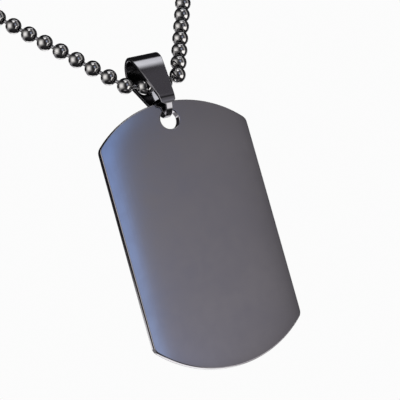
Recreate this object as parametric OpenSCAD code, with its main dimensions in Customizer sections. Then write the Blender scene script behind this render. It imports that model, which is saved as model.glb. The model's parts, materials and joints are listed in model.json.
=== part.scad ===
// Identification dog tag: a steel plate on a folded bail, hung on a ball chain.
// The origin is the middle of the chain's nape, +Z is up and the plate faces -Y.

/* [Tag plate] */
// Width of the plate
tag_w = 29.5; // [24:0.5:34]
// Length of the plate, over both bowed ends
tag_l = 50; // [42:0.5:60]
// Thickness of the plate
tag_t = 2; // [1.2:0.1:2.6]
// Radius of the bowed top and bottom edges
end_r = 20.6; // [18:0.1:32]
// Radius of the four corners
corner_r = 1.8; // [0.8:0.1:3]
// Bevel round both faces
rim_bevel = 0.3; // [0.1:0.05:0.4]
// Diameter of the hole
hole_d = 3.6; // [3.2:0.1:4.6]
// Metal between the hole and the top edge
hole_margin = 1.65; // [1.2:0.05:2.4]
// Chamfer round the hole's mouths
hole_chamfer = 0.15; // [0.05:0.05:0.2]

/* [Bail] */
// Width of the band at its top bend
bail_top_w = 5.7; // [4:0.1:7]
// Width of the band where its leaves end above the foot
bail_low_w = 2.8; // [1.8:0.1:3.2]
// Width of the foot that goes through the plate's hole
foot_w = 1.25; // [0.8:0.05:1.6]
// Thickness of the band
band_t = 0.7; // [0.5:0.05:1]
// Length of the bail between the centres of its two bends
bail_l = 8.3; // [7.5:0.1:14]
// Inner radius of the top bend
bail_top_r = 2.6; // [2.4:0.05:3.2]
// Room in the foot's bend beside the plate
foot_room = 1.15; // [0.9:0.05:1.4]
// How far the bail leans back
bail_lean = 33; // [0:1:40]
// How far the front leaf stays wide below the foot's centre
front_drop = 1.5; // [1:0.1:1.7]
// How far the back leaf stops above the foot's centre
back_rise = 0.5; // [0:0.1:1.5]
// Height of the chain above the foot's centre, along the bail
chain_seat_h = 4.2; // [4:0.1:7]

/* [Ball chain] */
// Length of the whole loop
chain_length = 600; // [450:10:760]
// Diameter of the beads
bead_d = 3.05; // [2.3:0.05:3.2]
// Distance between bead centres
bead_pitch = 3.9; // [3.8:0.05:4.6]
// Diameter of the wire between the beads
link_d = 0.7; // [0.5:0.05:1]
// Straight half length of the chain inside the bail
straight_half = 3.1; // [3:0.1:6]
// Radius of the chain's bend beside the bail
bend_r = 2.4; // [2.4:0.2:12]
// Angle of each strand from the middle of the loop
strand_angle = 27; // [18:1:36]
// Slope of the loop, back from upright
loop_slope = 41; // [20:1:60]

/* [Connector] */
// Wall of the connector's sleeve
sleeve_wall = 0.4; // [0.3:0.05:0.6]
// How far the sleeve reaches past the end beads
sleeve_over = 0.9; // [0.6:0.1:1.4]
// Radius of the opening in each end of the sleeve
sleeve_mouth_r = 1; // [0.8:0.05:1.05]

/* [Hidden] */
$fn = 64;

// Running gap between the chain and what it lies against
chain_gap = 0.25;
// Gap between the plate's hole and the foot that carries it
hang_gap = 0.28;
// Height of the slope from the foot's width to the leaf's width
shoulder_h = 0.4;
// How far a cut reaches past the solid that it cuts
cut_over = 1;
// Length that each link wire is sunk into its bead
link_sink = 0.4;

bead_r = bead_d / 2;

// The chain's loop lies in one sloping plane. x runs across it and e runs up along it.
bead_count = 2 * round(chain_length / bead_pitch / 2);
pitch = chain_length / bead_count;
bend_turn = 90 - strand_angle;
neck_turn = 90 + strand_angle;
rad = PI / 180;
strand_share = cos(strand_angle) / sin(strand_angle);
neck_r = (chain_length / 2 - straight_half - bend_r * bend_turn * rad
    + bend_r * strand_share + straight_half / sin(strand_angle))
    / (strand_share + neck_turn * rad);
strand_l = ((neck_r - bend_r) * cos(strand_angle) - straight_half) / sin(strand_angle);
bend_end = straight_half + bend_r * bend_turn * rad;
strand_end = bend_end + strand_l;

bend_x = straight_half + bend_r * sin(bend_turn);
bend_e = bend_r * (1 - cos(bend_turn));
strand_x = bend_x + strand_l * sin(strand_angle);
strand_e = bend_e + strand_l * cos(strand_angle);
neck_x = strand_x - neck_r * sin(bend_turn);
neck_e = strand_e + neck_r * cos(bend_turn);
nape_e = neck_e + neck_r;

// Place in the loop's plane, and heading, at a length q along the right half
function on_bend(q) = let (a = (q - straight_half) / bend_r / rad)
    [straight_half + bend_r * sin(a), bend_r * (1 - cos(a)), a];
function on_strand(q) = let (m = q - bend_end)
    [bend_x + m * sin(strand_angle), bend_e + m * cos(strand_angle), bend_turn];
function on_neck(q) = let (a = bend_turn + (q - strand_end) / neck_r / rad)
    [neck_x + neck_r * sin(a), neck_e - neck_r * cos(a), a];
function half_route(q) =
    q < straight_half ? [q, 0, 0] : q < bend_end ? on_bend(q) : q < strand_end ? on_strand(q) : on_neck(q);
function route(s) = let (p = half_route(abs(s))) s < 0 ? [-p[0], p[1], -p[2]] : p;

// The chain's place in the bail, below and before the nape
chain_y = -nape_e * sin(loop_slope);
chain_z = -nape_e * cos(loop_slope);

// The bail's own frame: its centre is that of the foot's bend, w runs up its length
foot_in_r = tag_t / 2 + foot_room;
foot_out_r = foot_in_r + band_t;
top_out_r = bail_top_r + band_t;
flare = asin((bail_top_r - foot_in_r) / bail_l);
leaf_in_u = foot_in_r / cos(flare) + chain_seat_h * tan(flare);
chain_u = -(leaf_in_u - (bead_r + chain_gap) / cos(flare));
foot_y = chain_y - chain_u * cos(bail_lean) - chain_seat_h * sin(bail_lean);
foot_z = chain_z + chain_u * sin(bail_lean) - chain_seat_h * cos(bail_lean);

// The plate hangs in the foot's bend by the top of its hole
hole_r = hole_d / 2;
hole_z = tag_l / 2 - hole_margin - hole_r;
hang_rise = sqrt(pow(foot_in_r - hang_gap, 2) - pow(tag_t / 2, 2));
plate_z = foot_z - hang_rise - hole_r - hole_z;
end_c = tag_l / 2 - end_r;
fillet_x = tag_w / 2 - corner_r;
fillet_z = end_c + sqrt(pow(end_r - corner_r, 2) - pow(fillet_x, 2));
fillet_a = atan2(fillet_z - end_c, fillet_x);

// A disc lying along Y, as thick as the plate, with a bevel round both faces
module bevelled_disc(r) {
    rotate([90, 0, 0]) {
        cylinder(r = r, h = tag_t - 2 * rim_bevel, center = true);
        translate([0, 0, tag_t / 2 - rim_bevel])
            cylinder(r1 = r, r2 = r - rim_bevel, h = rim_bevel);
        translate([0, 0, -tag_t / 2])
            cylinder(r1 = r - rim_bevel, r2 = r, h = rim_bevel);
    }
}

// A bar up the plate's length, with the two long edges of each face bevelled
module bevelled_bar() {
    x = tag_w / 2;
    y = tag_t / 2;
    linear_extrude(height = tag_l + 2 * cut_over, center = true)
        polygon([
            [-x, -y + rim_bevel], [-x + rim_bevel, -y], [x - rim_bevel, -y], [x, -y + rim_bevel],
            [x, y - rim_bevel], [x - rim_bevel, y], [-x + rim_bevel, y], [-x, y - rim_bevel],
        ]);
}

// What rounds the plate's upper right corner
module corner_cut() {
    reach = 3 * corner_r;
    difference() {
        rotate([90, 0, 0])
            linear_extrude(height = tag_t + 2 * cut_over, center = true)
                polygon([
                    [fillet_x, fillet_z],
                    [fillet_x + reach, fillet_z],
                    [fillet_x + reach, fillet_z + reach],
                    [fillet_x + reach * cos(fillet_a), fillet_z + reach * sin(fillet_a)],
                ]);
        translate([fillet_x, 0, fillet_z]) bevelled_disc(corner_r);
    }
}

module hole_cut() {
    rotate([90, 0, 0]) {
        cylinder(r = hole_r, h = tag_t + 2 * cut_over, center = true);
        for (side = [-1, 1])
            scale([1, 1, side])
                translate([0, 0, tag_t / 2 - hole_chamfer])
                    cylinder(r1 = hole_r, r2 = hole_r + 2 * hole_chamfer, h = 2 * hole_chamfer);
    }
}

module tag_plate() {
    color([0.42, 0.41, 0.43])
        translate([0, foot_y, plate_z])
            difference() {
                intersection() {
                    bevelled_bar();
                    union() {
                        translate([0, 0, end_c]) bevelled_disc(end_r);
                        translate([0, 0, -end_c]) bevelled_disc(end_r);
                    }
                }
                for (m = [0, 1], n = [0, 1]) mirror([m, 0, 0]) mirror([0, 0, n]) corner_cut();
                translate([0, 0, hole_z]) hole_cut();
            }
}

// The loop between the bail's two bends, seen from the side, u across and w up
module loop_shape(foot_r, top_r) {
    c = cos(flare);
    s = sin(flare);
    circle(r = foot_r);
    translate([0, bail_l]) circle(r = top_r);
    polygon([
        [foot_r * c, -foot_r * s], [top_r * c, bail_l - top_r * s],
        [-top_r * c, bail_l - top_r * s], [-foot_r * c, -foot_r * s],
    ]);
}

// The band's width, seen from the front, wide from leaf_w up and narrow below
module band_front(leaf_w) {
    low = bail_low_w / 2;
    foot = foot_w / 2;
    top = bail_top_w / 2;
    polygon([
        [-foot, -foot_out_r - cut_over], [foot, -foot_out_r - cut_over], [foot, leaf_w - shoulder_h],
        [low, leaf_w], [top, bail_l], [top, bail_l + top_out_r + cut_over],
        [-top, bail_l + top_out_r + cut_over], [-top, bail_l], [-low, leaf_w], [-foot, leaf_w - shoulder_h],
    ]);
}

module bail() {
    reach = top_out_r + foot_out_r;
    color([0.17, 0.165, 0.18])
        translate([0, foot_y, foot_z])
            rotate([-bail_lean, 0, 0])
                intersection() {
                    rotate([90, 0, 90])
                        linear_extrude(height = bail_top_w + cut_over, center = true)
                            difference() {
                                loop_shape(foot_out_r, top_out_r);
                                loop_shape(foot_in_r, bail_top_r);
                            }
                    union() {
                        rotate([90, 0, 0]) linear_extrude(height = reach) band_front(-front_drop);
                        translate([0, reach, 0])
                            rotate([90, 0, 0]) linear_extrude(height = reach) band_front(back_rise);
                    }
                }
}

// Places its children on the route, with X along the chain
module on_route(s) {
    p = route(s);
    translate([0, chain_y, chain_z])
        rotate([90 - loop_slope, 0, 0])
            translate([p[0], p[1], 0])
                rotate([0, 0, p[2]])
                    children();
}

module link(s) {
    a = route(s);
    b = route(s + pitch);
    run = [b[0] - a[0], b[1] - a[1]];
    wire = norm(run) - 2 * (bead_r - link_sink);
    translate([0, chain_y, chain_z])
        rotate([90 - loop_slope, 0, 0])
            translate([(a[0] + b[0]) / 2, (a[1] + b[1]) / 2, 0])
                rotate([0, 0, atan2(run[1], run[0])])
                    rotate([0, 90, 0])
                        cylinder(d = link_d, h = wire, center = true, $fn = 24);
}

module ball_chain() {
    first = -(bead_count - 1) / 2;
    color([0.30, 0.29, 0.31]) {
        for (i = [0 : bead_count - 1])
            on_route((first + i) * pitch) rotate([0, 0, 90]) sphere(r = bead_r, $fn = 24);
        for (i = [0 : bead_count - 2])
            link((first + i) * pitch);
    }
}

module chain_connector() {
    in_r = bead_r + chain_gap;
    out_r = in_r + sleeve_wall;
    half = pitch / 2 + bead_r + sleeve_over;
    color([0.30, 0.29, 0.31])
        rotate([0, 90, 0])
            difference() {
                cylinder(r = out_r, h = 2 * half, center = true);
                cylinder(r = in_r, h = 2 * (half - sleeve_wall), center = true);
                cylinder(r = sleeve_mouth_r, h = 2 * (half + cut_over), center = true);
            }
}

tag_plate();
bail();
ball_chain();
chain_connector();
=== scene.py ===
import json
import math
import random

import bpy
import numpy as np
from mathutils import Matrix, Vector
from mathutils.geometry import delaunay_2d_cdt


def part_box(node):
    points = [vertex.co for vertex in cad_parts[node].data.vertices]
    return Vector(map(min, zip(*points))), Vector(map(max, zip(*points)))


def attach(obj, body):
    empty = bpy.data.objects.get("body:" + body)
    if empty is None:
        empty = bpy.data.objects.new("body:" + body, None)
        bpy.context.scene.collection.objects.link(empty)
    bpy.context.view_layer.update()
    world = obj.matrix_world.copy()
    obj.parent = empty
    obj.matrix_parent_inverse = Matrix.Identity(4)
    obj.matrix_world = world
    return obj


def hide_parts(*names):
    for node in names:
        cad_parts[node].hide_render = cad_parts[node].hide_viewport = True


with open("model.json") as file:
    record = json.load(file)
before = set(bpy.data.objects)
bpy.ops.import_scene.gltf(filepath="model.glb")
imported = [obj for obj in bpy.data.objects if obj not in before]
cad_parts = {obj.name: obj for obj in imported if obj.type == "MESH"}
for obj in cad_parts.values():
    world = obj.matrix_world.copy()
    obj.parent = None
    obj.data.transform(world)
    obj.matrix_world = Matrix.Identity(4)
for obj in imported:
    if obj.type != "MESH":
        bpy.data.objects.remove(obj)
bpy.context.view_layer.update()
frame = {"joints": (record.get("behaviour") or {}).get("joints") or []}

mm = 0.001
random.seed(11)
scene = bpy.context.scene
jointSpot = {j["name"]: Vector(j["pos_m"]) / mm for j in frame["joints"]}
plateLow, plateHigh = (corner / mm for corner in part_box("tag_plate"))
plateCentre = (plateLow + plateHigh) / 2
plateSize = plateHigh - plateLow
print("frame loaded, plate", [round(side, 2) for side in plateSize])

cameraSpot = {
    "fromPlate": (-160.195, -403.939, -38.769),  # millimetres from the plate's centre
    "turn": (96.0894, 15.5437, -20.2139),  # degrees about X, Y and Z
    "lens": 216,
    "sensor": 36,
    "near": 0.01,  # metres, as is the next
    "far": 20,
}


def placeCamera(spot):
    data = bpy.data.cameras.new("photoCamera")
    data.lens = spot["lens"]
    data.sensor_width = spot["sensor"]
    data.clip_start = spot["near"]
    data.clip_end = spot["far"]
    camera = bpy.data.objects.new("photoCamera", data)
    camera.location = (plateCentre + Vector(spot["fromPlate"])) * mm
    camera.rotation_euler = [math.radians(angle) for angle in spot["turn"]]
    scene.collection.objects.link(camera)
    scene.camera = camera


placeCamera(cameraSpot)
print("camera placed")


def smooth(low, high, value):
    t = min(1.0, max(0.0, (value - low) / (high - low)))
    return t * t * (3 - 2 * t)


# points are in millimetres in the shared frame, the mesh is in metres
def meshPiece(name, points, faces, body, nodes, materials, normals=None, faceSlots=None):
    mesh = bpy.data.meshes.new(name)
    mesh.from_pydata((np.asarray(points, float) * mm).tolist(), [], faces)
    mesh.polygons.foreach_set("use_smooth", [True] * len(mesh.polygons))
    for material in materials:
        mesh.materials.append(material)
    if faceSlots is not None:
        mesh.polygons.foreach_set("material_index", faceSlots)
    mesh.update()
    if normals is not None:
        mesh.normals_split_custom_set_from_vertices(normals)
    piece = bpy.data.objects.new(name, mesh)
    scene.collection.objects.link(piece)
    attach(piece, body)
    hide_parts(*nodes)
    print("made", name, len(mesh.vertices), "points")


# shader helpers

def wire(tree, start, outName, end, inName):
    tree.links.new(start.outputs[outName], end.inputs[inName])


def addNode(tree, kind, x, y, **settings):
    made = tree.nodes.new(kind)
    made.location = (x, y)
    for key, value in settings.items():
        setattr(made, key, value)
    return made


def mathNode(tree, operation, x, y, *values):
    made = addNode(tree, "ShaderNodeMath", x, y, operation=operation)
    for i, value in enumerate(values):
        if value is not None:
            made.inputs[i].default_value = value
    return made


polishMix = {
    "cloudDetail": 3,
    "cloudShare": 0.65,
    "smearDetail": 5,
    "smearDistortion": 0.6,
    "smearShare": 0.35,
    "low": 0.35,
    "high": 0.65,
}


# slow cloudy change of polish, with a finer smear on top
def makePolishGroup():
    tree = bpy.data.node_groups.new("handledPolish", "ShaderNodeTree")
    tree.interface.new_socket("Vector", in_out="INPUT", socket_type="NodeSocketVector")
    for name, value in (("Cloud Scale", 90), ("Smear Scale", 600), ("Rough Low", 0.2), ("Rough High", 0.3)):
        made = tree.interface.new_socket(name, in_out="INPUT", socket_type="NodeSocketFloat")
        made.default_value = value
    for name in ("Roughness", "Mask"):
        tree.interface.new_socket(name, in_out="OUTPUT", socket_type="NodeSocketFloat")
    start = addNode(tree, "NodeGroupInput", -800, 0)
    end = addNode(tree, "NodeGroupOutput", 500, 0)
    cloud = addNode(tree, "ShaderNodeTexNoise", -550, 150)
    cloud.inputs["Detail"].default_value = polishMix["cloudDetail"]
    smear = addNode(tree, "ShaderNodeTexNoise", -550, -150)
    smear.inputs["Detail"].default_value = polishMix["smearDetail"]
    smear.inputs["Distortion"].default_value = polishMix["smearDistortion"]
    wire(tree, start, "Vector", cloud, "Vector")
    wire(tree, start, "Vector", smear, "Vector")
    wire(tree, start, "Cloud Scale", cloud, "Scale")
    wire(tree, start, "Smear Scale", smear, "Scale")
    fine = mathNode(tree, "MULTIPLY", -350, -150, None, polishMix["smearShare"])
    wire(tree, smear, "Fac", fine, 0)
    both = mathNode(tree, "MULTIPLY_ADD", -180, 0, None, polishMix["cloudShare"])
    wire(tree, cloud, "Fac", both, 0)
    wire(tree, fine, 0, both, 2)
    mask = addNode(tree, "ShaderNodeMapRange", 0, 0, interpolation_type="SMOOTHSTEP")
    mask.inputs["From Min"].default_value = polishMix["low"]
    mask.inputs["From Max"].default_value = polishMix["high"]
    wire(tree, both, 0, mask, "Value")
    spread = addNode(tree, "ShaderNodeMapRange", 220, 100)
    wire(tree, mask, "Result", spread, "Value")
    wire(tree, start, "Rough Low", spread, "To Min")
    wire(tree, start, "Rough High", spread, "To Max")
    wire(tree, spread, "Result", end, "Roughness")
    wire(tree, mask, "Result", end, "Mask")
    return tree


hairlineMix = {
    "detail": 4,
    "roughness": 0.6,
    "low": 0.3,
    "high": 0.7,
}


# faint lines that polishing leaves, stretched along one direction
def makeHairlineGroup():
    tree = bpy.data.node_groups.new("polishLines", "ShaderNodeTree")
    tree.interface.new_socket("Vector", in_out="INPUT", socket_type="NodeSocketVector")
    stretched = tree.interface.new_socket("Stretch", in_out="INPUT", socket_type="NodeSocketVector")
    stretched.default_value = (4000, 4000, 60)
    tree.interface.new_socket("Height", in_out="OUTPUT", socket_type="NodeSocketFloat")
    start = addNode(tree, "NodeGroupInput", -700, 0)
    end = addNode(tree, "NodeGroupOutput", 300, 0)
    stretch = addNode(tree, "ShaderNodeVectorMath", -450, 0, operation="MULTIPLY")
    wire(tree, start, "Vector", stretch, 0)
    wire(tree, start, "Stretch", stretch, 1)
    lines = addNode(tree, "ShaderNodeTexNoise", -250, 0)
    lines.inputs["Scale"].default_value = 1
    lines.inputs["Detail"].default_value = hairlineMix["detail"]
    lines.inputs["Roughness"].default_value = hairlineMix["roughness"]
    wire(tree, stretch, "Vector", lines, "Vector")
    lift = addNode(tree, "ShaderNodeMapRange", 0, 0)
    lift.inputs["From Min"].default_value = hairlineMix["low"]
    lift.inputs["From Max"].default_value = hairlineMix["high"]
    wire(tree, lines, "Fac", lift, "Value")
    wire(tree, lift, "Result", end, "Height")
    return tree


polishGroup = makePolishGroup()
hairlineGroup = makeHairlineGroup()


# a polished metal that clouds over slowly and carries the polishing lines
def metalMaterial(name, look):
    material = bpy.data.materials.new(name)
    material.use_nodes = True
    tree = material.node_tree
    surface = tree.nodes["Principled BSDF"]
    surface.inputs["Metallic"].default_value = 1
    place = addNode(tree, "ShaderNodeTexCoord", -1300, 0)
    polish = addNode(tree, "ShaderNodeGroup", -1000, 150, node_tree=polishGroup)
    polish.inputs["Cloud Scale"].default_value = look["cloudScale"]
    polish.inputs["Smear Scale"].default_value = look["smearScale"]
    polish.inputs["Rough Low"].default_value = look["roughLow"]
    polish.inputs["Rough High"].default_value = look["roughHigh"]
    wire(tree, place, "Object", polish, "Vector")
    shade = addNode(tree, "ShaderNodeMix", -600, 250, data_type="RGBA")
    shade.inputs["A"].default_value = (*look["colour"], 1)
    shade.inputs["B"].default_value = (*look["cloudColour"], 1)
    wire(tree, polish, "Mask", shade, "Factor")
    lines = addNode(tree, "ShaderNodeGroup", -1000, -200, node_tree=hairlineGroup)
    lines.inputs["Stretch"].default_value = look["lineStretch"]
    wire(tree, place, "Object", lines, "Vector")
    bump = addNode(tree, "ShaderNodeBump", -500, -200)
    bump.inputs["Strength"].default_value = look["lineStrength"]
    bump.inputs["Distance"].default_value = look["lineDepth"]
    wire(tree, lines, "Height", bump, "Height")
    wire(tree, bump, "Normal", surface, "Normal")
    wire(tree, polish, "Roughness", surface, "Roughness")
    wire(tree, shade, "Result", surface, "Base Color")
    return material


# tag plate

# lengths are in millimetres and turns in degrees, in this form and in those of the other pieces
plateForm = {
    "endRadius": 20.6,
    "cornerRadius": 1.8,
    "leastCorner": 0.25,
    "holeRadius": 1.8,
    "holeMargin": 1.65,
    "holeRound": 0.22,
    "rimRound": 0.14,
    "wallTurn": 15,
    "pillowDrop": 0.16,
    "pillowReach": 2.6,
}
# how finely the plate's mesh is laid out
plateDetail = {
    "endPoints": 22,
    "cornerPoints": 9,
    "sidePoints": 15,
    "rimTurns": (30, 45, 60, 75, 90),
    "innerRings": (0.45, 0.65, 0.95, 1.4, 2.0, 2.8, 3.8, 5.0),
    "ringRoom": 0.5,
    "wallShares": (-0.75, -0.5, -0.25, 0, 0.25, 0.5, 0.75),
    "holePoints": 64,
    "holeTurns": (0, 22, 45, 67, 90),
    "holeRings": (0.28, 0.45),
    "gridStep": 0.95,
    "gridFrom": 5.6,
    "gridRoom": 0.9,
}
plateLook = {
    "colour": (0.405, 0.388, 0.408),
    "cloudColour": (0.380, 0.362, 0.384),
    "roughLow": 0.10,
    "roughHigh": 0.14,
    "cloudScale": 70,
    "smearScale": 420,
    "lineStretch": (2600, 2600, 90),
    "lineStrength": 0.06,
    "lineDepth": 0.000005,  # metres, as in the other looks
}


# one quarter of the outline, from the middle of the top edge to the right side, drawn in by inset
def quarterOutline(inset):
    form = plateForm
    ends, corners, sides = (plateDetail[name] for name in ("endPoints", "cornerPoints", "sidePoints"))
    halfWide = plateSize.x / 2 - inset
    radius = form["endRadius"] - inset
    centre = plateSize.z / 2 - form["endRadius"]
    corner = max(form["cornerRadius"] - inset, form["leastCorner"])
    filletX = halfWide - corner
    filletZ = centre + math.sqrt((radius - corner) ** 2 - filletX ** 2)
    turn = math.atan2(filletZ - centre, filletX)
    points = []
    for i in range(ends):
        a = math.pi / 2 + (turn - math.pi / 2) * i / ends
        points.append((radius * math.cos(a), centre + radius * math.sin(a)))
    for i in range(corners):
        a = turn * (1 - i / (corners - 1))
        points.append((filletX + corner * math.cos(a), filletZ + corner * math.sin(a)))
    for i in range(1, sides):
        points.append((halfWide, filletZ * (1 - i / sides)))
    return points


def plateRing(inset):
    quarter = quarterOutline(inset)
    middle = [(plateSize.x / 2 - inset, 0)]
    right = quarter + middle + [(x, -z) for x, z in reversed(quarter)]
    return right + [(-x, z) for x, z in reversed(right[1:-1])]


# how far a place is inside the outline
def insetAt(x, z):
    form = plateForm
    x, z = abs(x), abs(z)
    centre = plateSize.z / 2 - form["endRadius"]
    corner = form["cornerRadius"]
    filletX = plateSize.x / 2 - corner
    filletZ = centre + math.sqrt((form["endRadius"] - corner) ** 2 - filletX ** 2)
    fromSide = plateSize.x / 2 - x
    fromEnd = form["endRadius"] - math.hypot(x, z - centre)
    outX, outZ = x - filletX, z - filletZ
    if outX > 0 and outZ > 0 and outX * (filletZ - centre) > outZ * filletX:
        return corner - math.hypot(outX, outZ)
    return min(fromSide, fromEnd)


# how far a rounded edge of this radius has dropped at this inset
def roundDrop(radius, inset):
    if inset >= radius:
        return 0.0
    return radius - math.sqrt(max(0.0, radius ** 2 - (radius - max(0.0, inset)) ** 2))


# the face's soft bow towards its sides and ends
def bowAt(x, z):
    form = plateForm
    reach = form["pillowReach"]
    fromSide = max(0.0, plateSize.x / 2 - abs(x))
    fromEnd = max(0.0, form["endRadius"] - math.hypot(x, abs(z) - plateSize.z / 2 + form["endRadius"]))
    return form["pillowDrop"] * math.hypot(math.exp(-fromSide / reach), math.exp(-fromEnd / reach))


holeZ = plateSize.z / 2 - plateForm["holeMargin"] - plateForm["holeRadius"]
wallTurn = math.radians(plateForm["wallTurn"])
wallHalf = plateSize.y / 2 - plateForm["rimRound"] - plateForm["pillowDrop"]
# the side wall bows out by this much in its middle, and meets the rounded rim at the wall turn
wallCrown = wallHalf * math.tan(wallTurn) / 2
rimShift = plateForm["rimRound"] * (1 - math.cos(wallTurn)) - wallCrown


def faceDrop(x, z):
    form = plateForm
    fromHole = math.hypot(x, z - holeZ) - form["holeRadius"]
    rim = roundDrop(form["rimRound"], insetAt(x, z) + rimShift)
    return rim + bowAt(x, z) + roundDrop(form["holeRound"], fromHole)


def clearOfHole(x, z, room):
    return math.hypot(x, z - holeZ) > plateForm["holeRadius"] + room


def plateNormal(x, z):
    step = 0.004
    onWall = 0.006
    if not clearOfHole(x, z, onWall):
        return Vector((-x, 0, holeZ - z)).normalized()
    dx = (faceDrop(x + step, z) - faceDrop(x - step, z)) / (2 * step)
    dz = (faceDrop(x, z + step) - faceDrop(x, z - step)) / (2 * step)
    return Vector((dx, -1, dz)).normalized()


# the way out of the outline at one point, from its neighbours on the ring
def outwardAt(ring, i):
    before, after = ring[i - 1], ring[(i + 1) % len(ring)]
    return Vector((before[1] - after[1], 0, after[0] - before[0])).normalized()


# the face's points, seen flat: rings along the rim, rings round the hole and a grid between them
def plateSpots():
    form, detail = plateForm, plateDetail
    spots = []
    for turn in (form["wallTurn"], *detail["rimTurns"]):
        spots += plateRing(form["rimRound"] * (1 - math.cos(math.radians(turn))) - rimShift)
    for inset in detail["innerRings"]:
        spots += [spot for spot in plateRing(inset) if clearOfHole(*spot, detail["ringRoom"])]
    holeStart = len(spots)
    outs = [form["holeRound"] * (1 - math.cos(math.radians(turn))) for turn in detail["holeTurns"]]
    for out in (*outs, *detail["holeRings"]):
        radius = form["holeRadius"] + out
        for i in range(detail["holePoints"]):
            a = 2 * math.pi * i / detail["holePoints"]
            spots.append((radius * math.cos(a), holeZ + radius * math.sin(a)))
    step = detail["gridStep"]
    rowShare = 0.866  # gives even triangles
    row = 0
    z = -plateSize.z / 2
    while z < plateSize.z / 2:
        x = -plateSize.x / 2 + (step / 2 if row % 2 else 0)
        while x < plateSize.x / 2:
            if insetAt(x, z) > detail["gridFrom"] and clearOfHole(x, z, detail["gridRoom"]):
                spots.append((x, z))
            x += step
        z += step * rowShare
        row += 1
    return spots, holeStart


# triangles over the face, all wound one way, with none across the hole
def faceTriangles(spots, triangles):
    onHole = 0.9985
    kept = []
    for triangle in triangles:
        a, b, c = (spots[i] for i in triangle)
        middle = ((a[0] + b[0] + c[0]) / 3, (a[1] + b[1] + c[1]) / 3)
        if math.hypot(middle[0], middle[1] - holeZ) > plateForm["holeRadius"] * onHole:
            area = (b[0] - a[0]) * (c[1] - a[1]) - (b[1] - a[1]) * (c[0] - a[0])
            kept.append(list(triangle) if area > 0 else list(reversed(triangle)))
    return kept


def buildPlate():
    halfThick = plateSize.y / 2
    flat, holeStart = plateSpots()
    merge = 1e-5
    places, _, triangles, sources, _, _ = delaunay_2d_cdt([Vector(spot) for spot in flat], [], [], 0, merge)
    spots = [tuple(place) for place in places]
    # the rings at the rim and at the hole keep their order, so the walls can be sewn to them
    newIndex = {}
    for i, origins in enumerate(sources):
        for origin in origins:
            newIndex[origin] = i
    points, normals, faces = [], [], []
    for side in (-1, 1):
        for x, z in spots:
            points.append((x, side * (halfThick - faceDrop(x, z)), z))
            n = plateNormal(x, z)
            normals.append((n.x, n.y if side < 0 else -n.y, n.z))
    count = len(spots)
    for triangle in faceTriangles(spots, triangles):
        faces.append(triangle)
        faces.append([i + count for i in reversed(triangle)])
    rimCount, holeCount = len(plateRing(0)), plateDetail["holePoints"]
    rim = [newIndex[i] for i in range(rimCount)]
    hole = [newIndex[holeStart + i] for i in range(holeCount)]
    # the side wall goes from the front rim to the back rim in steps
    rings = [rim]
    for share in plateDetail["wallShares"]:
        outline = plateRing(wallCrown * share * share)
        rings.append(list(range(len(points), len(points) + rimCount)))
        for i, (x, z) in enumerate(outline):
            points.append((x, -share * points[rim[i]][1], z))
            out = outwardAt(outline, i) * math.cos(wallTurn * share)
            normals.append((out.x, math.sin(wallTurn * share), out.z))
    rings.append([i + count for i in rim])
    for near, far in zip(rings, rings[1:]):
        for i in range(rimCount):
            j = (i + 1) % rimCount
            faces.append([near[i], near[j], far[j], far[i]])
    for i, a in enumerate(hole):
        b = hole[(i + 1) % holeCount]
        faces.append([a, b, b + count, a + count])
    centred = [(x + plateCentre.x, y + plateCentre.y, z + plateCentre.z) for x, y, z in points]
    return centred, faces, normals


plateMetal = metalMaterial("platePolish", plateLook)
platePoints, plateFaces, plateNormals = buildPlate()
meshPiece(
    "tagPlate", platePoints, plateFaces, "tag", ["tag_plate"],
    [plateMetal], plateNormals,
)


# bail

bailForm = {
    "topWidth": 5.7,
    "lowWidth": 2.8,
    "footWidth": 1.25,
    "band": 0.7,
    "length": 8.3,
    "topInner": 2.6,
    "footInner": 2.15,
    "lean": 33,
    "frontDrop": 1.5,
    "backRise": 0.5,
    "shoulder": 0.4,
    "edgeRound": 0.13,
    "bulge": 1.0,
    # the back leaf's inward face is painted near black, as shade, above this height
    "paintedShadeFrom": 5.4,
}
# how finely the band is laid out, and how often its bends are smoothed
bailDetail = {
    "leafSteps": 64,
    "footSteps": 60,
    "topSteps": 72,
    "edgeSteps": 4,
    "settle": 12,
}
bailLook = {
    "colour": (0.31, 0.302, 0.32),
    "cloudColour": (0.285, 0.277, 0.295),
    "roughLow": 0.06,
    "roughHigh": 0.09,
    "cloudScale": 160,
    "smearScale": 900,
    "lineStretch": (2000, 300, 300),
    "lineStrength": 0.02,
    "lineDepth": 0.000005,
}
# painted shade: the band is dull and near black where it faces inwards, so the inside of the loop reads
# dark, apart from the low part of the back leaf
paintedShadeLook = dict(
    bailLook,
    colour=(0.075, 0.073, 0.078),
    cloudColour=(0.05, 0.048, 0.052),
    roughLow=0.22,
    roughHigh=0.34,
)


# in the bail's own frame u runs to the back and w up from the foot's centre, before it is leaned
def bailHalfWidth(w, front):
    form = bailForm
    leafEnd = -form["frontDrop"] if front else form["backRise"]
    low, top, foot = form["lowWidth"] / 2, form["topWidth"] / 2, form["footWidth"] / 2
    if w >= form["length"]:
        return top
    if w >= leafEnd:
        return low + (top - low) * (w - leafEnd) / (form["length"] - leafEnd)
    return foot + (low - foot) * smooth(leafEnd - form["shoulder"], leafEnd, w)


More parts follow.
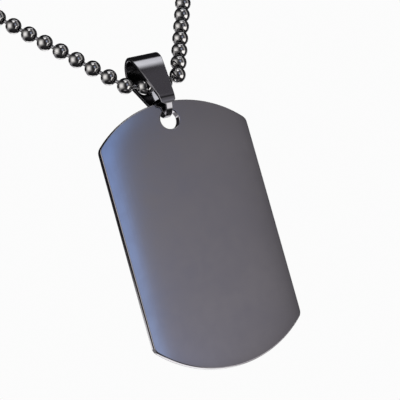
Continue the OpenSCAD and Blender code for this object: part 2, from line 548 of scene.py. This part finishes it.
# the band's middle line, seen from the side, with the direction that it faces and the leaf it is on
def bailStations():
    form = bailForm
    leafSteps, footSteps, topSteps = (bailDetail[name] for name in ("leafSteps", "footSteps", "topSteps"))
    middle = form["band"] / 2
    footR, topR, length = form["footInner"] + middle, form["topInner"] + middle, form["length"]
    flare = math.asin((topR - footR) / length)
    path = []
    # down the front, which bows out a little near the top, then round the foot
    for i in range(leafSteps):
        t = i / leafSteps
        radius = topR + (footR - topR) * t + form["bulge"] * t * (1 - t) ** 2
        path.append((-radius * math.cos(flare), length * (1 - t) - radius * math.sin(flare)))
    for i in range(footSteps):
        a = math.pi + flare + (math.pi - 2 * flare) * i / footSteps
        path.append((footR * math.cos(a), footR * math.sin(a)))
    # up the back and over the top
    for i in range(leafSteps):
        t = i / leafSteps
        radius = footR + (topR - footR) * t
        path.append((radius * math.cos(flare), length * t - radius * math.sin(flare)))
    for i in range(topSteps):
        a = -flare + (math.pi + 2 * flare) * i / topSteps
        path.append((topR * math.cos(a), length + topR * math.sin(a)))
    path = np.array(path)
    for _ in range(bailDetail["settle"]):
        path = (np.roll(path, 1, 0) + 2 * path + np.roll(path, -1, 0)) / 4
    along = np.roll(path, -1, 0) - np.roll(path, 1, 0)
    return [(u, w, math.atan2(-du, dw), u < 0) for (u, w), (du, dw) in zip(path, along)]


# the band's cross section with four rounded edges, as places and directions across and out
def bandSection(halfWide, halfThick, edge):
    section = []
    steps = bailDetail["edgeSteps"]
    for sideX, sideOut, start in ((1, 1, 0), (-1, 1, 90), (-1, -1, 180), (1, -1, 270)):
        for i in range(steps + 1):
            a = math.radians(start + 90 * i / steps)
            across, out = math.cos(a), math.sin(a)
            x = sideX * (halfWide - edge) + edge * across
            n = sideOut * (halfThick - edge) + edge * out
            section.append((x, n, across, out))
    return section


def buildBail():
    form = bailForm
    spot = jointSpot["tag_swing"]
    lean = math.radians(form["lean"])
    stations = bailStations()
    points, normals, faces = [], [], []

    def leaned(x, u, w):
        return Vector((x, u * math.cos(lean) + w * math.sin(lean), w * math.cos(lean) - u * math.sin(lean)))

    for u, w, a, front in stations:
        half = bailHalfWidth(w, front)
        for x, n, across, out in bandSection(half, form["band"] / 2, form["edgeRound"]):
            points.append(spot + leaned(x, u + n * math.cos(a), w + n * math.sin(a)))
            normals.append(leaned(across, out * math.cos(a), out * math.sin(a)))
    total = len(stations)
    size = len(points) // total
    # the flat strip between the third and the fourth edge is the one that faces inwards
    innerFace = size * 3 // 4 - 1
    slots = []
    for i, (_, w, _, front) in enumerate(stations):
        j = (i + 1) % total
        # painted shade: inward strips on the front leaf, and on the back leaf above the shade height, take
        # the near-black inside material
        paintedShade = front or w > form["paintedShadeFrom"]
        for k in range(size):
            m = (k + 1) % size
            faces.append([i * size + k, i * size + m, j * size + m, j * size + k])
            slots.append(1 if paintedShade and k == innerFace else 0)
    return points, faces, normals, slots


bailMetal = metalMaterial("bailPolish", bailLook)
# the near-black inside material is painted shade for the inside of the loop
paintedShadeMetal = metalMaterial("bailInsidePaintedShade", paintedShadeLook)
bailPoints, bailFaces, bailNormals, bailSlots = buildBail()
bailMetals = [bailMetal, paintedShadeMetal]
meshPiece(
    "foldedBail", bailPoints, bailFaces, "bail", ["bail"],
    bailMetals, bailNormals, bailSlots,
)


# ball chain

chainForm = {
    "length": 600,
    "pitch": 3.9,
    "bead": 3.05,
    "link": 0.7,
    "linkOverlap": 0.9,  # for both ends together
    "straightHalf": 3.1,
    "bendRadius": 2.4,
    "strandAngle": 27,
    "slope": 41,
    "mouthRadius": 0.52,
    "mouthDepth": 0.16,
    "mouthTaper": 0.80,
    "lipDepth": 0.05,
    "lipTaper": 0.93,
    "seamWidth": 3.0,  # degrees
    "seamDepth": 0.035,
    "columns": 22,
    "rows": 12,
    "linkSides": 8,
}
chainLook = {
    "colour": (0.47, 0.462, 0.46),
    "cloudColour": (0.42, 0.412, 0.41),
    "roughLow": 0.06,
    "roughHigh": 0.10,
    "cloudScale": 260,
    "smearScale": 1500,
    "lineStretch": (900, 900, 900),
    "lineStrength": 0.03,
    "lineDepth": 0.000005,
}
linkLook = dict(
    chainLook,
    colour=(0.30, 0.295, 0.31),
    cloudColour=(0.24, 0.235, 0.25),
    roughLow=0.18,
    roughHigh=0.3,
)


# the loop as a flat route: straight in the bail, a bend, a strand up and an arc round the neck
def chainRoute(form):
    lean = math.radians(form["strandAngle"])
    sine, cosine = math.sin(lean), math.cos(lean)
    bendTurn, neckTurn = math.pi / 2 - lean, math.pi / 2 + lean
    half, straight, bendR = form["length"] / 2, form["straightHalf"], form["bendRadius"]
    share = cosine / sine
    neckR = (half - straight - bendR * bendTurn + bendR * share + straight / sine) / (share + neckTurn)
    strand = ((neckR - bendR) * cosine - straight) / sine
    bendEnd = straight + bendR * bendTurn
    strandEnd = bendEnd + strand
    bendX, bendUp = straight + bendR * math.sin(bendTurn), bendR * (1 - math.cos(bendTurn))
    neckX = bendX + strand * sine - neckR * math.sin(bendTurn)
    neckUp = bendUp + strand * cosine + neckR * math.cos(bendTurn)

    def halfRoute(run):
        if run < straight:
            return run, 0.0, 0.0
        if run < bendEnd:
            turned = (run - straight) / bendR
            return straight + bendR * math.sin(turned), bendR * (1 - math.cos(turned)), turned
        if run < strandEnd:
            past = run - bendEnd
            return bendX + past * sine, bendUp + past * cosine, bendTurn
        turned = bendTurn + (run - strandEnd) / neckR
        return neckX + neckR * math.sin(turned), neckUp - neckR * math.cos(turned), turned

    # the place and the heading after a run from the middle of the bail, to the left where it is negative
    def route(run):
        x, up, turned = halfRoute(abs(run))
        return (x, up, turned) if run >= 0 else (-x, up, -turned)

    return route


chainStart = jointSpot["pendant_swing"]
slope = math.radians(chainForm["slope"])
chainPlace = Matrix.Translation(chainStart) @ Matrix.Rotation(math.pi / 2 - slope, 4, "X")


# a bead round the X axis: small mouths at both ends, and a seam from mouth to mouth
def beadShape(form):
    radius, mouth, seam = form["bead"] / 2, form["mouthRadius"], form["seamWidth"]
    # the seam is a column of its own, with one close by on each side
    step = (360 - 4 * seam) / (form["columns"] - 2)
    columns = [0.0, seam, 360 - seam] + [2 * seam + step * i for i in range(form["columns"] - 1)]
    columns = sorted(columns)
    tilt = math.asin(mouth / radius)
    edge = radius * math.cos(tilt)
    rows = [(edge - form["mouthDepth"], mouth * form["mouthTaper"])]
    rows += [(edge - form["lipDepth"], mouth * form["lipTaper"])]
    for i in range(form["rows"] + 1):
        a = tilt + (math.pi - 2 * tilt) * i / form["rows"]
        rows.append((radius * math.cos(a), radius * math.sin(a)))
    rows += [(-x, r) for x, r in reversed(rows[:2])]
    points, faces = [], []
    for x, r in rows:
        for angle in columns:
            dent = form["seamDepth"] if angle == 0 else 0.0
            a = math.radians(angle)
            points.append((x, (r - dent) * math.cos(a), (r - dent) * math.sin(a)))
    n = len(columns)
    for i in range(len(rows) - 1):
        for k in range(n):
            m = (k + 1) % n
            faces.append([i * n + k, (i + 1) * n + k, (i + 1) * n + m, i * n + m])
    # both mouths are closed behind the wire
    last = (len(rows) - 1) * n
    faces.append(list(range(n)))
    faces.append([last + n - 1 - k for k in range(n)])
    return points, faces


def linkShape(form, length):
    radius = form["link"] / 2
    sides = form["linkSides"]
    points, faces = [], []
    for x in (-length / 2, length / 2):
        for k in range(sides):
            a = 2 * math.pi * k / sides
            points.append((x, radius * math.cos(a), radius * math.sin(a)))
    for k in range(sides):
        m = (k + 1) % sides
        faces.append([k, m, m + sides, k + sides])
    faces.append([sides - 1 - k for k in range(sides)])
    faces.append([sides + k for k in range(sides)])
    return points, faces


def buildChain():
    form = chainForm
    route = chainRoute(form)
    count = 2 * round(form["length"] / form["pitch"] / 2)
    pitch = form["length"] / count
    first = -(count - 1) / 2
    beadPoints, beadFaces = beadShape(form)
    points, faces, slots = [], [], []

    def add(shape, shapeFaces, where, materialSlot):
        base = len(points)
        points.extend(tuple(where @ Vector(p)) for p in shape)
        faces.extend([base + i for i in face] for face in shapeFaces)
        slots.extend([materialSlot] * len(shapeFaces))

    for i in range(count):
        x, up, turned = route((first + i) * pitch)
        where = chainPlace @ Matrix.Translation((x, up, 0)) @ Matrix.Rotation(turned, 4, "Z")
        roll = Matrix.Rotation(random.uniform(0, 2 * math.pi), 4, "X")
        add(beadPoints, beadFaces, where @ roll, 0)
    for i in range(count - 1):
        nearX, nearUp, _ = route((first + i) * pitch)
        farX, farUp, _ = route((first + i + 1) * pitch)
        run = math.hypot(farX - nearX, farUp - nearUp)
        linkPoints, linkFaces = linkShape(form, run - form["bead"] + form["linkOverlap"])
        middle = Matrix.Translation(((nearX + farX) / 2, (nearUp + farUp) / 2, 0))
        heading = Matrix.Rotation(math.atan2(farUp - nearUp, farX - nearX), 4, "Z")
        add(linkPoints, linkFaces, chainPlace @ middle @ heading, 1)
    return points, faces, slots


beadMetal = metalMaterial("beadPolish", chainLook)
linkMetal = metalMaterial("linkWire", linkLook)
chainPoints, chainFaces, chainSlots = buildChain()
chainMetals = [beadMetal, linkMetal]
meshPiece(
    "ballChain", chainPoints, chainFaces, "chain", ["ball_chain"],
    chainMetals, faceSlots=chainSlots,
)


# connector sleeve at the nape

sleeveForm = {
    "bore": 1.775,
    "wall": 0.4,
    "wallTaper": 0.001,
    "mouth": 1.0,
    "lip": 0.12,
    "lipSoft": 0.03,
    "endRound": 0.3,
    "endSteps": 5,
    "ringDepth": 0.07,
    "ringPlace": 0.52,  # share of the way from the middle to the end
    "ringWidth": 0.22,
    "ringSteps": 16,
    "sides": 56,
}
sleeveLook = dict(chainLook, roughLow=0.10, roughHigh=0.18)


# its section, turned round the X axis: an end, the outside with its rings, the other end and the bore
def buildSleeve():
    form = sleeveForm
    low, high = (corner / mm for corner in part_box("chain_connector"))
    half = (high.x - low.x) / 2
    bore, mouth, lip, soft = form["bore"], form["mouth"], form["lip"], form["lipSoft"]
    outer = bore + form["wall"]
    inner = half - form["wall"]
    edge = form["endRound"]
    end = [(inner - form["wallTaper"], mouth), (half - lip, mouth)]
    end += [(half - soft, mouth + soft), (half, mouth + lip)]
    for i in range(form["endSteps"] + 1):
        a = math.radians(90 * i / form["endSteps"])
        end.append((half - edge + edge * math.cos(a), outer - edge + edge * math.sin(a)))
    profile = list(end)
    # two pressed rings that hold the end beads
    steps = form["ringSteps"]
    for i in range(1, 2 * steps):
        x = (half - edge) * (1 - i / steps)
        ring = form["ringDepth"] * math.exp(-((abs(x) - half * form["ringPlace"]) / form["ringWidth"]) ** 2)
        profile.append((x, outer - ring))
    profile += [(-x, r) for x, r in reversed(end)]
    profile += [(-inner, bore), (0, bore), (inner, bore)]
    points, faces = [], []
    for x, r in profile:
        for k in range(form["sides"]):
            a = 2 * math.pi * k / form["sides"]
            points.append((x, r * math.cos(a), r * math.sin(a)))
    n, total = form["sides"], len(profile)
    for i in range(total):
        j = (i + 1) % total
        for k in range(n):
            m = (k + 1) % n
            faces.append([i * n + k, j * n + k, j * n + m, i * n + m])
    return points, faces


sleeveMetal = metalMaterial("sleevePolish", sleeveLook)
sleevePoints, sleeveFaces = buildSleeve()
meshPiece(
    "connectorSleeve", sleevePoints, sleeveFaces, "chain", ["chain_connector"],
    [sleeveMetal],
)


# floor and light

studio = {
    "floorDrop": 0.10,
    "floorSize": 6.0,
    "floorColour": (0.88, 0.88, 0.88),
    "floorRough": 0.9,
    "backdrop": (0.97, 0.97, 0.97),
    "roomFront": (0.045, 0.044, 0.047),
    "roomBack": (0.02, 0.02, 0.022),
    "roomFrom": -0.6,
    "roomTo": 0.5,
    "fillPower": 3.0,
    "fillSize": 2.0,
    "fillPlace": (0, -0.2, 1.3),
}
# soft panels in the dark room, each named for what it lights
# all is in degrees: heading from the front to the right, rise, half width, half height, soft edge and spin
panelColumns = ("heading", "rise", "wide", "high", "edge", "spin", "colour")
panels = {
    "plateTone": (16, 6, 16, 18, 12, 0, (0.225, 0.22, 0.23)),
    "plateLowTone": (14, 1, 10.5, 5.5, 8, 0, (0.145, 0.14, 0.148)),
    "blueBand": (13.4, 6.5, 4, 9, 3.5, 14, (0.15, 0.31, 0.62)),
    "blueTop": (13.4, 9.5, 4.5, 4, 3.5, 14, (0.015, 0.07, 0.26)),
    "blueFoot": (15.5, 0, 5, 4, 4.5, 0, (0.03, 0.045, 0.11)),
    "beadLeft": (-76, 12, 31, 30, 48, 8, (1.65, 1.63, 1.60)),
    "beadLow": (43, -37, 25, 18, 12, 0, (2.1, 2.08, 2.04)),
    "beadTop": (8, 54, 12, 11, 9, 0, (1.9, 1.9, 1.9)),
    "beadRight": (57, 10, 11, 30, 14, 0, (0.55, 0.545, 0.54)),
    "bailStripe": (64.8, 66.2, 3.8, 26, 6.5, -30, (1.85, 1.89, 1.92)),
    "bailLeaf": (36, 50, 16, 14, 10, 0, (0.11, 0.104, 0.115)),
    "whiteEdge": (174, -31, 17, 14, 8, 0, (1.6, 1.6, 1.6)),
    "plateBack": (180, -17, 64, 13, 8, 0, (0.30, 0.295, 0.31)),
    "wallFade": (-166, 1, 17, 2.6, 3, 0, (1.5, 1.5, 1.5)),
}
leastCore = 0.5  # degrees that a panel's full part keeps on each side of its middle


def buildFloor():
    half = studio["floorSize"] / 2
    mesh = bpy.data.meshes.new("floor")
    z = plateLow.z * mm - studio["floorDrop"]
    corners = [(-half, -half, z), (half, -half, z), (half, half, z), (-half, half, z)]
    mesh.from_pydata(corners, [], [(0, 1, 2, 3)])
    floor = bpy.data.objects.new("floor", mesh)
    scene.collection.objects.link(floor)
    material = bpy.data.materials.new("paleFloor")
    material.use_nodes = True
    surface = material.node_tree.nodes["Principled BSDF"]
    surface.inputs["Base Color"].default_value = (*studio["floorColour"], 1)
    surface.inputs["Roughness"].default_value = studio["floorRough"]
    mesh.materials.append(material)
    floor.visible_glossy = False


# one broad lamp for the floor, which the backdrop lights as well, while metal mirrors only the panels
def buildFill():
    data = bpy.data.lights.new("overhead", "AREA")
    data.shape = "DISK"
    data.size = studio["fillSize"]
    data.energy = studio["fillPower"]
    lamp = bpy.data.objects.new("overhead", data)
    lamp.location = studio["fillPlace"]
    lamp.visible_glossy = False
    lamp.visible_camera = False
    scene.collection.objects.link(lamp)


# one inside the panel and nothing outside it, by how far a direction is off the panel's two middle lines
def panelMask(tree, direction, panel, x, y):
    heading, rise = math.radians(panel["heading"]), math.radians(panel["rise"])
    run = math.cos(rise)
    forward = Vector((math.sin(heading) * run, -math.cos(heading) * run, math.sin(rise)))
    level = Vector((math.cos(heading), math.sin(heading), 0))
    plumb = level.cross(forward)
    spin = math.radians(panel["spin"])
    right = level * math.cos(spin) + plumb * math.sin(spin)
    up = plumb * math.cos(spin) - level * math.sin(spin)
    soften = panel["edge"] / 2
    masks = []
    for axis, half in ((right, panel["wide"]), (up, panel["high"])):
        dot = addNode(tree, "ShaderNodeVectorMath", x, y, operation="DOT_PRODUCT")
        dot.inputs[1].default_value = axis
        tree.links.new(direction, dot.inputs[0])
        size = mathNode(tree, "ABSOLUTE", x + 150, y)
        wire(tree, dot, "Value", size, 0)
        soft = addNode(tree, "ShaderNodeMapRange", x + 300, y, interpolation_type="SMOOTHSTEP")
        soft.inputs["From Min"].default_value = math.sin(math.radians(half + soften))
        soft.inputs["From Max"].default_value = math.sin(math.radians(max(leastCore, half - soften)))
        wire(tree, size, 0, soft, "Value")
        masks.append(soft)
        y -= 150
    facing = addNode(tree, "ShaderNodeVectorMath", x, y, operation="DOT_PRODUCT")
    facing.inputs[1].default_value = forward
    tree.links.new(direction, facing.inputs[0])
    ahead = mathNode(tree, "GREATER_THAN", x + 150, y, None, 0)
    wire(tree, facing, "Value", ahead, 0)
    both = mathNode(tree, "MULTIPLY", x + 500, y)
    wire(tree, masks[0], "Result", both, 0)
    wire(tree, masks[1], "Result", both, 1)
    final = mathNode(tree, "MULTIPLY", x + 650, y)
    wire(tree, both, 0, final, 0)
    wire(tree, ahead, 0, final, 1)
    return final


# camera and diffuse rays see the pale backdrop, while mirrored rays see the room and its panels
def buildWorld():
    world = bpy.data.worlds.new("studio")
    scene.world = world
    world.use_nodes = True
    tree = world.node_tree
    tree.nodes.clear()
    place = addNode(tree, "ShaderNodeTexCoord", -1600, 0)
    direction = place.outputs["Generated"]
    split = addNode(tree, "ShaderNodeSeparateXYZ", -1300, 400)
    tree.links.new(direction, split.inputs[0])
    room = addNode(tree, "ShaderNodeMapRange", -1100, 400, interpolation_type="SMOOTHSTEP")
    room.inputs["From Min"].default_value = studio["roomFrom"]
    room.inputs["From Max"].default_value = studio["roomTo"]
    wire(tree, split, "Y", room, "Value")
    total = addNode(tree, "ShaderNodeMix", -800, 400, data_type="RGBA")
    total.inputs["A"].default_value = (*studio["roomFront"], 1)
    total.inputs["B"].default_value = (*studio["roomBack"], 1)
    wire(tree, room, "Result", total, "Factor")
    for i, row in enumerate(panels.values()):
        panel = dict(zip(panelColumns, row))
        mask = panelMask(tree, direction, panel, -1300, -500 * i)
        more = addNode(tree, "ShaderNodeMix", 200 * i - 400, 400, data_type="RGBA", blend_type="ADD")
        more.inputs["B"].default_value = (*panel["colour"], 1)
        wire(tree, mask, 0, more, "Factor")
        wire(tree, total, "Result", more, "A")
        total = more
    seen = addNode(tree, "ShaderNodeLightPath", 600, 700)
    shown = addNode(tree, "ShaderNodeMix", 800, 400, data_type="RGBA")
    pale = mathNode(tree, "MAXIMUM", 700, 600)
    wire(tree, seen, "Is Camera Ray", pale, 0)
    wire(tree, seen, "Is Diffuse Ray", pale, 1)
    wire(tree, pale, 0, shown, "Factor")
    wire(tree, total, "Result", shown, "A")
    shown.inputs["B"].default_value = (*studio["backdrop"], 1)
    background = addNode(tree, "ShaderNodeBackground", 1000, 400)
    wire(tree, shown, "Result", background, "Color")
    output = addNode(tree, "ShaderNodeOutputWorld", 1200, 400)
    wire(tree, background, "Background", output, "Surface")


buildFloor()
buildFill()
buildWorld()
scene.view_settings.view_transform = "Standard"
print("floor and light made")
